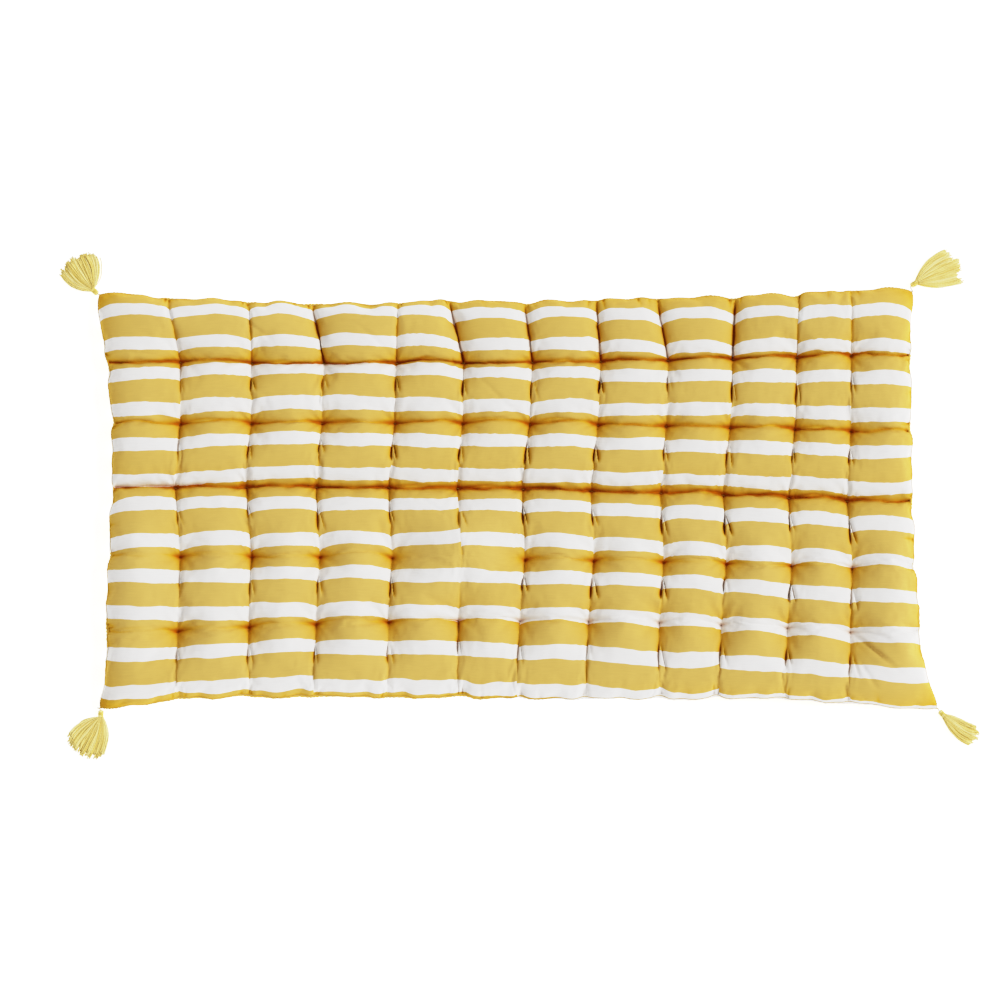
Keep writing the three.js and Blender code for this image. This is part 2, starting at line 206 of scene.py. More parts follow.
# The printed stripes. Each row of puffs shows two, and these give what part of the print shows at its
# back and its front, counted in stripes from the back seam, at five places from left to right, and how
# far the stripes dip towards the columns at a puff's left and right ends
PRINT = [
    dict(back=(0.3, 0.65, 0.45, 0.3, 0.2), front=(2.55, 2.8, 2.6, 2.35, 2.3), arch=(0.05, 0.04)),
    dict(back=(2.55, 2.8, 2.55, 2.3, 2.3), front=(4.35, 4.55, 4.45, 4.5, 4.45), arch=(0, -0.03)),
    dict(back=(4.3, 4.45, 4.35, 4.35, 4.3), front=(6.15, 6.45, 6.4, 6.4, 6.35), arch=(-0.05, -0.04)),
    dict(back=(6.4, 6.4, 6.35, 6.3, 6.3), front=(8.35, 8.5, 8.5, 8.3, 8.05), arch=(0.03, -0.04)),
    dict(back=(8.35, 8.45, 8.45, 8.3, 8.1), front=(10.5, 10.35, 10.15, 10, 9.9), arch=(0, -0.03)),
    dict(back=(10.35, 10.3, 10.15, 10, 9.85), front=(12.45, 12.35, 12.25, 11.95, 11.95), arch=(0.02, -0.02)),
]
WHITE_SHARE = 0.37  # of a stripe and its gap
STEP_AT_COLUMN = 0.04
TILT = 0.06  # how much one end of a puff's stripes may lie further back than the other
ARCH_UNEVEN = 0.05  # how much one puff's stripes dip more than the next one's
CLOTH_ALONG = 1.95  # stripe periods of cloth along the length of one puff
# The printed edge's softness and how it wavers, then the slubs, the weave and the crumpling of the cotton.
# They are measured on the cloth, in stripe periods
PRINT_EDGE = 0.008
WAVER = dict(stretch=(0.55, 2.3, 1), scale=1.6, size=0.14)
SLUBS = dict(stretch=(2.2, 46, 1), tone=0.14, relief=0.2)
WEAVE = dict(stretch=(46, 46, 1), relief=0.25)
CRUMPLE = dict(scale=5, relief=0.9)
# Each colour of the cloth: its own colour on a puff's crown, then painted shade on its sides and down in the
# crease
WHITE_CLOTH_AND_PAINTED_SHADE = ((0.88, 0.865, 0.85), (0.875, 0.85, 0.82), (0.74, 0.62, 0.54))
GOLD_CLOTH_AND_PAINTED_SHADE = ((0.68, 0.495, 0.175), (0.66, 0.42, 0.07), (0.52, 0.19, 0.008))
# where the painted shade of the sides stands between the crown and the crease
PAINTED_SIDE_STOP = 0.4

# Tassels: the neck's upper end, the way that the neck and the fan point, half the fan's angle, the
# way that its tips curl round, the strands' length, and the stray strands with their own turn and length
TASSELS = {
    "back_left": dict(
        x=-0.624, y=0.303, neck=138, fan=120, spread=37, curl=0, length=0.055, strays=[(78, 0.050)]
    ),
    "back_right": dict(
        x=0.594, y=0.315, neck=32, fan=24, spread=27, curl=-6, length=0.067, strays=[(29, 0.071)]
    ),
    "front_right": dict(x=0.631, y=-0.327, neck=-46, fan=-33, spread=18, curl=14, length=0.055, strays=[]),
    "front_left": dict(
        x=-0.614, y=-0.326, neck=268, fan=241, spread=35, curl=0, length=0.060, strays=[(204, 0.047)]
    ),
}
NECK = dict(height=0.0056, length=0.011, yarns=20, core_yarns=10, core=0.55, twist=0.5, uneven=0.2)
# The neck's radius at some of its length: a rounded head, a bound waist and a wider mouth
NECK_PROFILE = [
    (0, 0.0008), (0.06, 0.0027), (0.2, 0.0036), (0.34, 0.0028), (0.66, 0.0028), (0.85, 0.0038), (1, 0.0041)
]
ROOTS = dict(within=0.004, inside=0.0015)  # the strands' roots, round the neck's axis and back in its mouth
YARN = dict(radius=0.0008, root=0.0003, sides=6, steps=14, sway=0.0012, waves=(1.5, 3.5))
LOCKS = dict(locks=18, strands=15, spread=0.03, uneven=0.10, shorter_at_sides=0.3, rise=0.0075)
# How a strand bends, in shares of its length: along the neck, outwards from it and back from its tip.
# It opens wider than its place in the fan and closes again towards the tip
FAN_BEND = dict(along_neck=0.06, outwards=0.32, settle=0.38, open=1.9, close=0.15)
BINDING = dict(thread=0.00045, turns=5, sides=6, steps_per_turn=14, tuck=0.6)
HANGER = dict(ply=0.00055, plies=2, pitch=0.0042, bend=0.4, sides=8, steps=24, into_ear=0.002)
STITCH = dict(length=0.0045, radius=0.0005, sides=6, steps=6, sunk=0.0004, turn=20)
SEAM_THREAD = dict(radius=0.0006, sides=6)
# Yarns and threads: their darkest and lightest colours, the length of one twist, and the relief's depth
YARN_LOOKS = dict(
    tassel_yarn=dict(dark=(0.78, 0.60, 0.18), light=(0.96, 0.86, 0.46), pitch=0.004, relief=0.00012),
    binding_thread=dict(dark=(0.78, 0.62, 0.16), light=(0.92, 0.80, 0.34), pitch=0.002, relief=0.00012),
    hanging_cord=dict(dark=(0.82, 0.78, 0.66), light=(0.90, 0.88, 0.80), pitch=0.003, relief=0.00015),
    tie_thread=dict(dark=(0.40, 0.25, 0.03), light=(0.55, 0.36, 0.05), pitch=0.002, relief=0.00015),
    # the seam thread is dark both as stitching and as painted shadow of the seam's groove
    seam_thread=dict(dark=(0.50, 0.35, 0.12), light=(0.60, 0.44, 0.18), pitch=0.002, relief=0.00012),
)
FIBRES = dict(scale=900, tone=0.5, ply_painted_shade=0.08, relief=0.6)

# The floor, the light and the camera, which looks down on the mattress from its front edge
CAMERA = dict(distance=12, elevation=81, aim=(-0.0297, 0.0045, 0.021), frame_width=1.489, sensor=0.036)
FLOOR = dict(half=12, colour=(0.9, 0.9, 0.9, 1), roughness=0.9, glow=1.3)
KEY = dict(place=(1.8, 0.1, 1.6), strength=2.6, angle=30)
SKY = 0.7
# The camera's tones: how bright the darker and lighter parts are shown, as shares of the brightest
TONE_WHITE = 2
TONES = [
    (0.037, 0.02), (0.074, 0.07), (0.16, 0.205), (0.24, 0.38), (0.347, 0.585), (0.5, 0.785), (0.817, 0.92)
]


def mix(a, b, t):
    return a + (b - a) * t


def finished_mesh(name, shape):
    """Makes a mesh of a finished bmesh, with smooth faces."""
    for face in shape.faces:
        face.smooth = True
    mesh = bpy.data.meshes.new(name)
    shape.to_mesh(mesh)
    shape.free()
    return mesh


def add_object(name, data):
    added = bpy.data.objects.new(name, data)
    bpy.context.scene.collection.objects.link(added)
    return added


def through_three(left, middle, right, t):
    """A curve through three values, at the left, middle and right."""
    return left * (1 - t) * (1 - 2 * t) + middle * 4 * t * (1 - t) + right * t * (2 * t - 1)


def from_places(values, t):
    """A smooth change between values that stand at equal distances from left to right."""
    place = t * (len(values) - 1)
    before = min(int(place), len(values) - 2)
    part = place - before
    return mix(values[before], values[before + 1], part * part * (3 - 2 * part))


def drawn_in(t):
    """0 at the corners of a side and 1 along its drawn-in middle."""
    return 1 - abs(2 * t - 1) ** EAR_SHARPNESS


def on_side(column, row):
    return column in (0, ACROSS) or row in (0, DEEP)


def column_x(column, row):
    place = COLUMNS[column - 1]
    return place["x"] + place["lean"] * (row - DEEP / 2) / (DEEP - 2)


def corner_name(column, row):
    return ("back" if row == 0 else "front") + ("_left" if column == 0 else "_right")


def lattice_point(column, row):
    """A point of the lattice seen from above. The first and last columns and rows lie on the seam."""
    if column in (0, ACROSS) and row in (0, DEEP):
        return CORNERS[corner_name(column, row)]
    if column in (0, ACROSS):
        back, front = CORNERS[corner_name(column, 0)], CORNERS[corner_name(column, DEEP)]
        left = column == 0
        y = ROWS[row - 1]["left" if left else "right"]
        t = (back.y - y) / (back.y - front.y)
        inward = ROWS[row - 1]["inward"][0 if left else 1]
        return Vector((mix(back.x, front.x, t) + (inward if left else -inward), y))
    if row in (0, DEEP):
        left, right = CORNERS[corner_name(0, row)], CORNERS[corner_name(ACROSS, row)]
        place = COLUMNS[column - 1]
        x = column_x(column, row) + (place["aside"] if row == 0 else 0)
        t = (x - left.x) / (right.x - left.x)
        inward = -place["back"] if row == 0 else place["front"]
        return Vector((x, mix(left.y, right.y, t) + inward))
    tied = ROWS[row - 1]
    y = through_three(tied["left"], tied["middle"], tied["right"], (column - 1) / (ACROSS - 2))
    return Vector((column_x(column, row) + tied["shift"], y))


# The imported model's origin is below the middle of its outline, so the lattice is shifted to its place
cover_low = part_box("mattress")[0]
SHIFT = Vector((cover_low.x, cover_low.y)) - Vector(
    (min(corner.x for corner in CORNERS.values()), min(corner.y for corner in CORNERS.values()))
)
LATTICE = {
    (column, row): lattice_point(column, row) + SHIFT
    for column in range(ACROSS + 1)
    for row in range(DEEP + 1)
}


bow_chance = random.Random(21)
BOWS = {
    (column, row): CREASE_BOW * bow_chance.uniform(-1, 1)
    for column in range(ACROSS)
    for row in range(1, DEEP)
}


def crown_shape(t):
    """The crown of a puff across its width: steep by the creases and round on top."""
    return (1 - abs(2 * t - 1) ** PUFF_FLATNESS) ** PUFF_STEEPNESS


def flat_shape(t):
    """The underside of a puff: turned up by the creases and flat where it lies."""
    return math.sin(math.pi / 2 * max(0, min(1, t / UNDER_FLAT, (1 - t) / UNDER_FLAT)))


TOP = dict(
    level=START_CROWN,
    tie=TUFT_TOP,
    untied=START_CROWN,
    shape=crown_shape,
    row_crease=[row["crease"] for row in ROWS],
    column_crease=COLUMN_CREASE,
)
UNDER = dict(
    level=0,
    tie=TUFT_UNDER,
    untied=0,
    shape=flat_shape,
    row_crease=[UNDER_ROW_CREASE] * len(ROWS),
    column_crease=UNDER_COLUMN_CREASE,
)


def point_height(panel, column, row):
    if on_side(column, row):
        along = row / DEEP if column in (0, ACROSS) else column / ACROSS
        return mix(EAR_HEIGHT, SEAM_HEIGHT, drawn_in(along))
    return panel["untied"] if (column, row) == UNTIED else panel["tie"]


def crease_height(panel, start, end, t):
    """Height along one side of a puff, between two neighbouring points of the lattice."""
    ends = point_height(panel, *start), point_height(panel, *end)
    along_row = start[1] == end[1]
    line = start[1] if along_row else start[0]
    if line in (0, DEEP if along_row else ACROSS):
        return mix(*ends, t)
    middle = panel["row_crease"][line - 1] if along_row else panel["column_crease"]
    if UNTIED in (start, end):
        middle = panel["untied"]
    elif panel is TOP and not along_row:
        return dart_height(*start, ends, middle, t)
    return mix(ends[t >= 0.5], middle, panel["shape"](t))


def dart_height(column, row, ends, middle, t):
    """Height along a column of the top: a sharp fold forward from each tie, and behind the first ones."""
    if row == 0:
        pleat = mix(START_CROWN, BACK_PLEAT["height"], COLUMNS[column - 1]["pleat"])
        return mix(ends[1], mix(ends[0], pleat, min(1, 3 * t)), crown_shape(t) if t >= 0.5 else 1)
    if t < DART["length"]:
        return mix(ends[0], DART["height"], t / DART["length"])
    rise = min(1, (t - DART["length"]) / (0.5 - DART["length"] / 2))
    return mix(ends[1], mix(DART["height"], middle, rise), crown_shape(t) if t >= 0.5 else 1)


def start_point(panel, u, v):
    """Where the unfilled cloth starts, with u counting puffs from the left and v from the back."""
    column, row = min(int(u), ACROSS - 1), min(int(v), DEEP - 1)
    s, t = u - column, v - row
    back = LATTICE[column, row].lerp(LATTICE[column + 1, row], s)
    front = LATTICE[column, row + 1].lerp(LATTICE[column + 1, row + 1], s)
    place = back.lerp(front, t)
    place.x -= SIDE_BULGES["left"][row] * bulge(t, s) if column == 0 else 0
    place.x += SIDE_BULGES["right"][row] * bulge(t, 1 - s) if column == ACROSS - 1 else 0
    place.y += bulge(s, t) if row == 0 else 0
    place.y -= bulge(s, 1 - t) if row == DEEP - 1 else 0
    if 0 < row + (t >= 0.5) < DEEP:
        place.y += BOWS[column, row + (t >= 0.5)] * math.sin(math.pi * s) * (1 - crown_shape(t))
    place += outward(u, v) * (seam_pucker(u, v) + (wall(u, v) if panel is UNDER else 0))
    near_column, near_row = column + (s >= 0.5), row + (t >= 0.5)
    across, along = 1 - panel["shape"](s), 1 - panel["shape"](t)
    level = panel["level"]
    row_side = crease_height(panel, (column, near_row), (column + 1, near_row), s) - level
    column_side = crease_height(panel, (near_column, row), (near_column, row + 1), t) - level
    corner = point_height(panel, near_column, near_row) - level
    height = level + along * row_side + across * column_side - across * along * corner
    return Vector((place.x, place.y, height))


def bulge(along, from_seam):
    """How far an outer puff bulges past the straight line of the seam."""
    return SCALLOP * math.sin(math.pi * along) * max(0, 1 - from_seam / SCALLOP_REACH) ** 2


def from_seam(u, v):
    return min(u, ACROSS - u, v, DEEP - v)


def outward(u, v):
    """The way out to the nearest side of the cover."""
    nearest = from_seam(u, v)
    sides = ((u, (-1, 0)), (ACROSS - u, (1, 0)), (v, (0, 1)), (DEEP - v, (0, -1)))
    return sum((Vector(way) for distance, way in sides if distance < nearest + 1e-6), Vector((0, 0)))


def seam_pucker(u, v):
    """The small uneven waves of the seam, fading away from it."""
    along = u if min(v, DEEP - v) < min(u, ACROSS - u) else v + 20
    waves = sum(size * math.sin(2 * math.pi * often * along + often * v) for often, size in PUCKERS)
    ends = min(1, min(u, ACROSS - u) + min(v, DEEP - v))
    return waves * ends * max(0, 1 - 4 * from_seam(u, v))


def wall(u, v):
    """How far the underside's edge stands out past the seam above it."""
    away = from_seam(u, v) / WALL["reach"]
    ends = min(1, 2 * (min(u, ACROSS - u) + min(v, DEEP - v)))
    return WALL["bulge"] * ends * math.sin(math.pi * min(1, away)) if away < 1 else 0


def puff_count(share, puffs):
    """A place on the grid, from 0 to 1, counted in puffs, with the squares closer by the creases."""
    count = round(share * puffs * TOP_SQUARES) / TOP_SQUARES
    whole = math.floor(count + 1e-6)
    part = count - whole
    return round(whole + part - CREASE_DENSITY * math.sin(2 * math.pi * part) / (2 * math.pi), 6)


def panel_grid(cloth, squares, level):
    grid = bmesh.ops.create_grid(cloth, x_segments=ACROSS * squares, y_segments=DEEP * squares, size=1)
    for vert in grid["verts"]:
        vert.co.z = level
    return grid["verts"]


def sewn_panels():
    """A top and a coarser underside, sewn together at the rim. Returns the mesh and each point's puffs."""
    cloth = bmesh.new()
    panel_grid(cloth, TOP_SQUARES, 1)
    under = set(panel_grid(cloth, UNDER_SQUARES, -1))
    rim = [edge for edge in cloth.edges if edge.is_boundary and edge.verts[0] in under]
    bmesh.ops.subdivide_edges(cloth, edges=rim, cuts=TOP_SQUARES // UNDER_SQUARES - 1)
    seam = [vert for vert in cloth.verts if vert.is_boundary]
    for vert in seam:
        vert.co.z = 0
    bmesh.ops.remove_doubles(cloth, verts=seam, dist=1e-5)
    bmesh.ops.triangulate(cloth, faces=[face for face in cloth.faces if len(face.verts) > 4])
    bmesh.ops.recalc_face_normals(cloth, faces=cloth.faces)
    puffs = cloth.verts.layers.float_vector.new("puffs")
    for vert in cloth.verts:
        u = puff_count((vert.co.x + 1) / 2, ACROSS)
        v = puff_count((1 - vert.co.y) / 2, DEEP)
        vert[puffs] = (u, v, round(vert.co.z))
    return cloth, puffs


def cloth_shares(cloth, puffs):
    """How far each place on the top lies along the cloth of its row of puffs, from back to front."""
    shares = {}
    columns = {}
    for vert in cloth.verts:
        u, v, side = vert[puffs]
        if side >= 0:
            columns.setdefault(round(u, 4), []).append((v, vert.co.copy()))
    for u, line in columns.items():
        line.sort(key=lambda point: point[0])
        for row in range(DEEP):
            part = [point for point in line if row - GRID_ERROR <= point[0] <= row + 1 + GRID_ERROR]
            walked = [0]
            for (_, before), (_, after) in zip(part, part[1:]):
                walked.append(walked[-1] + (after - before).length)
            for (v, _), length in zip(part, walked):
                shares[u, round(v, 4), row] = length / walked[-1]
    return shares


def print_on_cloth(cloth, puffs):
    """Lays the printed stripes out on the flat cloth, one unit of the map to a stripe and its gap."""
    shares = cloth_shares(cloth, puffs)
    chance = random.Random(11)
    puffs_own = [(column, row) for column in range(ACROSS) for row in range(DEEP)]
    step = {puff: chance.uniform(-1, 1) * STEP_AT_COLUMN for puff in puffs_own}
    tilt = {puff: chance.uniform(-1, 1) * TILT for puff in puffs_own}
    arch = {puff: [chance.uniform(-1, 1) * ARCH_UNEVEN for _ in range(2)] for puff in puffs_own}
    stripes = cloth.loops.layers.uv.new("cloth")
    for face in cloth.faces:
        middle = sum((vert[puffs] for vert in face.verts), Vector()) / len(face.verts)
        column, row = min(int(middle.x), ACROSS - 1), min(int(middle.y), DEEP - 1)
        for loop in face.loops:
            u, v, _ = loop.vert[puffs]
            share = shares.get((round(u, 4), round(v, 4), row), v - row) if middle.z > 0 else v - row
            back = from_places(PRINT[row]["back"], u / ACROSS)
            front = from_places(PRINT[row]["front"], u / ACROSS)
            drift = (step[column, row] + tilt[column, row] * (u - column - 0.5)) * math.sin(math.pi * share)
            end = 0 if u - column < 0.5 else 1
            drift -= (PRINT[row]["arch"][end] + arch[column, row][end]) * (1 - crown_shape(u - column))
            loop[stripes].uv = (u * CLOTH_ALONG, mix(back, front, share) + drift)


def is_tied(u, v):
    column, row = round(u), round(v)
    near = abs(u - column) < GRID_ERROR and abs(v - row) < GRID_ERROR
    return near and not on_side(column, row) and (column, row) != UNTIED


def hold(u, v, side):
    """How firmly a point of the cloth is held in place while the cover fills."""
    if is_tied(u, v) or (side == 0 and u in (0, ACROSS) and v in (0, DEEP)):
        return 1
    if side == 0:
        return SEAM_HELD
    row = round(v)
    on_row = side > 0 and abs(v - row) < GRID_ERROR and 0 < row < DEEP
    if on_row and not (row == UNTIED[1] and abs(u - UNTIED[0]) < 1):
        return ROWS[row - 1]["held"]
    column = round(u)
    if side > 0 and abs(u - column) < GRID_ERROR and 0 < column < ACROSS:
        from_tie = v - int(v)
        if v < 1:
            return BACK_PLEAT["held"] * COLUMNS[column - 1]["pleat"]
        if from_tie < DART["length"] and (column, int(v)) != UNTIED:
            return DART["held"] * (1 - from_tie / DART["length"])
    return 0


def fill_cover(cover, places):
    """Blows the cover up between its ties, as the filling does, and keeps the result."""
    chance = random.Random(5)
    fullness = {
        (c, r): 1 - UNEVEN["growth"] * chance.random() for c in range(ACROSS + 1) for r in range(DEEP + 1)
    }
    held = cover.vertex_groups.new(name="held")
    filled = cover.vertex_groups.new(name="filled")
    taut = cover.vertex_groups.new(name="taut")
    for index, (u, v, side) in enumerate(places):
        full = fullness[int(u), int(v)] if side >= 0 else 0
        for group, weight in ((held, hold(u, v, side)), (filled, full), (taut, 1 - full)):
            if weight > 0:
                group.add([index], weight, "REPLACE")
    modifier = cover.modifiers.new("filling", "CLOTH")
    cloth = modifier.settings
    for name, value in COTTON.items():
        setattr(cloth, name, value)
    cloth.vertex_group_mass = held.name
    cloth.vertex_group_shrink = taut.name
    cloth.shrink_min = -FILLING["growth"]
    cloth.uniform_pressure_force = FILLING["pressure"]
    cloth.vertex_group_pressure = filled.name
    cloth.effector_weights.gravity = 0
    modifier.collision_settings.use_collision = False
    modifier.collision_settings.use_self_collision = False
    for step in range(1, FILLING["frames"] + 1):
        bpy.context.scene.frame_set(step)
    depsgraph = bpy.context.evaluated_depsgraph_get()
    settled = bpy.data.meshes.new_from_object(cover.evaluated_get(depsgraph), depsgraph=depsgraph)
    cover.modifiers.remove(modifier)
    cover.vertex_groups.clear()
    cover.data = settled
    bpy.context.scene.frame_set(1)


def lay_flat(mesh):
    """The underside rests on the floor, so nothing hangs below it."""
    for vert in mesh.vertices:
        vert.co.z = max(0, vert.co.z)


def gather(place, u, v, turns):
    """The height of the folds of spare cloth round the nearest tie."""
    tie = round(u), round(v)
    if on_side(*tie) or tie == UNTIED:
        return 0
    away = place.xy - LATTICE[tie]
    distance = away.length / GATHERS["reach"]
    swing = math.cos(GATHERS["folds"] * math.atan2(away.y, away.x) + turns[tie])
    return GATHERS["height"] * swing * distance * math.exp(1 - distance)


def make_cover():
    cloth, puffs = sewn_panels()
    chance = random.Random(3)
    turns = {tie: chance.uniform(0, 2 * math.pi) for tie in LATTICE}
    places = []
    for vert in cloth.verts:
        u, v, side = vert[puffs]
        vert.co = start_point(UNDER if side < 0 else TOP, round(u, 5), round(v, 5))
        places.append((round(u, 5), round(v, 5), side))
        if side and not is_tied(u, v):
            vert.co.z += UNEVEN["level"] * chance.uniform(-1, 1)
        if side > 0:
            vert.co.z += gather(vert.co, u, v, turns)
    print_on_cloth(cloth, puffs)
    cover = add_object("striped_cover", finished_mesh("striped_cover", cloth))
    fill_cover(cover, places)
    smooth_cloth(cover.data)
    lay_flat(cover.data)
    keep_seam_crisp(cover.data)
    refine(cover)
    press_fine_folds(cover.data)
    return cover


def smooth_cloth(mesh):
    """Evens out the smallest waves of the filled cloth, inside the panels and along the seam."""
    cloth = bmesh.new()
    cloth.from_mesh(mesh)
    puffs = cloth.verts.layers.float_vector["puffs"]
    inside = [vert for vert in cloth.verts if vert[puffs].z and not is_tied(*vert[puffs].xy)]
    bmesh.ops.smooth_vert(cloth, verts=inside, factor=0.5, use_axis_x=True, use_axis_y=True, use_axis_z=True)
    seam = [vert for vert in cloth.verts if not vert[puffs].z]
    seam = [vert for vert in seam if not (vert[puffs].x in (0, ACROSS) and vert[puffs].y in (0, DEEP))]
    for _ in range(SEAM_SMOOTHING):
        beside = [[edge.other_vert(vert) for edge in vert.link_edges] for vert in seam]
        ends = [[vert.co for vert in group if not vert[puffs].z] for group in beside]
        evened = [(2 * vert.co + sum(pair, Vector())) / (2 + len(pair)) for vert, pair in zip(seam, ends)]
        for vert, place in zip(seam, evened):
            vert.co = place
    cloth.to_mesh(mesh)
    cloth.free()


def keep_seam_crisp(mesh):
    """The corners stay pointed and the seam keeps its line when the mesh is made finer."""
    places = mesh.attributes["puffs"].data
    points = mesh.attributes.new("crease_vert", "FLOAT", "POINT")
    lines = mesh.attributes.new("crease_edge", "FLOAT", "EDGE")
    for place, point in zip(places, points.data):
        u, v, side = place.vector
        point.value = 1 if side == 0 and u in (0, ACROSS) and v in (0, DEEP) else 0
    for edge, line in zip(mesh.edges, lines.data):
        line.value = SEAM_CRISP if all(places[vert].vector.z == 0 for vert in edge.vertices) else 0


def refine(piece):
    finer = piece.modifiers.new("finer", "SUBSURF")
    finer.levels = 1
    finer.render_levels = 1
    depsgraph = bpy.context.evaluated_depsgraph_get()
    mesh = bpy.data.meshes.new_from_object(piece.evaluated_get(depsgraph), depsgraph=depsgraph)
    piece.modifiers.remove(finer)
    piece.data = mesh


def make_folds():
    """The sharp folds of the top: one on each stretch of crease, with its own depth and way."""
    chance = random.Random(17)
    rows = {}
    columns = {}
    for row in range(1, DEEP):
        for column in range(ACROSS):
            if UNTIED not in ((column, row), (column + 1, row)):
                rows[column, row] = dict(
                    depth=ROWS[row - 1]["fold"] * chance.uniform(0.75, 1.15),
                    faded=ROWS[row - 1]["faded"] * chance.uniform(0.8, 1.2),
                    beside=chance.choice((-1, 1)) * chance.uniform(0.7, 1.2) * ROW_FOLDS["beside"],
                    wave=chance.uniform(-1, 1),
                    ripple=chance.uniform(-0.5, 0.5),
                    turn=chance.uniform(0, 2 * math.pi),
                    paired=chance.random() < ROW_FOLDS["paired"],
                )
    for column in range(1, ACROSS):
        for row in range(DEEP):
            fold = {name: chance.uniform(*limits) for name, limits in DART_PAIRS.items()}
            fold["depth"] *= min(1, PAIR_SHAPE["at_left"] + PAIR_SHAPE["growth"] * column)
            columns[column, row] = fold
    return rows, columns


def groove(offset, width):
    """How deep a fold is, beside its line, as a share of its full depth."""
    return math.exp(-abs(offset) / width)


def row_fold(fold, s, away, width):
    """Depth of a crease's fold at a part s of the way along it, with away the distance in front of it."""
    swing = math.sin(math.pi * s)
    waves = math.sin(ROW_FOLDS["weaker_waves"] * s + fold["turn"])
    fade = mix(1, fold["faded"], swing) * (1 - ROW_FOLDS["weaker"] * swing * waves)
    line = fold["wave"] * math.sin(2 * math.pi * s)
    line += fold["ripple"] * math.sin(ROW_FOLDS["line_waves"] * s + fold["turn"]) * swing
    main = fold["depth"] * fade * groove(away - line * FOLDS["wander"], width)
    if not fold["paired"]:
        return main
    second = ROW_FOLDS["second"] * math.sin(math.pi * min(1, s / ROW_FOLDS["second_reach"]))
    return main + fold["depth"] * second * groove(away - fold["beside"] * swing, width)


def dart_fold(fold, aside, away, width):
    """Depth of the two folds that spread from one point in front of a tie, with the cloth raised between."""
    opened = away - fold["start"]
    along = opened / fold["length"]
    if not 0 < along < 1:
        return 0
    depth = fold["depth"] * math.sin(math.pi * along ** PAIR_SHAPE["deepest"])
    left = groove(aside + fold["left"] * opened, max(width, PAIR_SHAPE["width"]))
    right = groove(aside - fold["right"] * opened, width)
    half = (fold["left"] + fold["right"]) * opened / 2
    from_ridge = (aside - (fold["right"] - fold["left"]) * opened / 2) / max(half, 0.001)
    ridge = PAIR_SHAPE["ridge"] * max(0, 1 - from_ridge * from_ridge)
    return depth * (max(left, fold["share"] * right) - ridge * min(1, PAIR_SHAPE["rise"] * along))


def make_tucks():
    """The small folds that the seam gathers: for each side, their places, lengths, depths and slants."""
    chance = random.Random(29)
    tucks = {}
    for side, puffs in (("back", ACROSS), ("front", ACROSS), ("left", DEEP), ("right", DEEP)):
        tucks[side] = []
        for line in range(1, puffs):
            places = [line + TUCKS["aside"] * chance.uniform(-1, 1) for _ in range(2)]
            if chance.random() < EXTRA_TUCKS["often"]:
                places.append(line + chance.uniform(*EXTRA_TUCKS["place"]))
            for place in places:
                length = chance.uniform(*TUCKS["length"])
                depth = TUCKS["depth"] * chance.uniform(TUCKS["least"], 1)
                tucks[side].append((place, length, depth, TUCKS["slant"] * chance.uniform(-1, 1)))
    return tucks


def tuck_depth(tucks, u, v):
    """Depth of the folds that run in from the seam."""
    depth = 0
    sides = (("back", u, v), ("front", u, DEEP - v), ("left", v, u), ("right", v, ACROSS - u))
    for side, along, away in sides:
        away *= PUFF
        if away < TUCKS["length"][1]:
            for place, length, deepest, slant in tucks[side]:
                if away < length and abs(along - place) < TUCKS["near"]:
                    aside = (along - place) * PUFF - slant * away
                    depth = max(depth, deepest * (1 - away / length) * groove(aside, TUCKS["width"]))
    return depth


def column_fold(fold, aside, v, width):
    """Depth of the fold along a column, deeper and shallower by turns and never quite straight."""
    wave = math.sin(COLUMN_FOLDS["waves"] * v + fold["turn"])
    depth = COLUMN_FOLDS["depth"] * fold["line"] * (1 - COLUMN_FOLDS["uneven"] * (1 - wave))
    return depth * groove(aside - COLUMN_FOLDS["uneven"] * FOLDS["wander"] * wave, width)


def back_pleat(fold, column, aside, v, width):
    """Depth of the pleat between the back seam and a column's first tie."""
    depth = BACK_PLEAT["fold"] * COLUMNS[column - 1]["pleat"] * min(1, v / BACK_PLEAT["starts"])
    return depth * groove(aside + fold["left"] * (1 - v) * PUFF * BACK_PLEAT["slant"], width)


def fold_depth(folds, u, v, width):
    """Depth of the folds along the creases at one place on the top."""
    rows, columns = folds
    column, row = min(int(u), ACROSS - 1), min(int(v), DEEP - 1)
    depth = 0
    near_row, near_column = round(v), round(u)
    if (column, near_row) in rows:
        depth = row_fold(rows[column, near_row], u - column, (v - near_row) * PUFF, width)
    if (near_column, row) in columns:
        fold = columns[near_column, row]
        aside = (u - near_column) * PUFF
        depth = max(depth, column_fold(fold, aside, v, width))
        if row == 0:
            depth = max(depth, back_pleat(fold, near_column, aside, v, width))
        elif (near_column, row) != UNTIED:
            dart = dart_fold(fold, aside, (v - row) * PUFF, width)
            depth = dart if dart < 0 else max(depth, dart)
    return depth


def wrinkle_depth(u, v):
    depth = 0
    for wrinkle in WRINKLES:
        (u0, v0), (u1, v1) = wrinkle["start"], wrinkle["end"]
        length = math.hypot(u1 - u0, v1 - v0)
        along = ((u - u0) * (u1 - u0) + (v - v0) * (v1 - v0)) / length**2
        aside = ((u - u0) * (v1 - v0) - (v - v0) * (u1 - u0)) / length * PUFF / WRINKLE_WIDTH
        if 0 < along < 1 and abs(aside) < WRINKLE_REACH:
            depth += wrinkle["depth"] * math.sin(math.pi * along) * math.cos(aside) * math.exp(-abs(aside))
    return depth


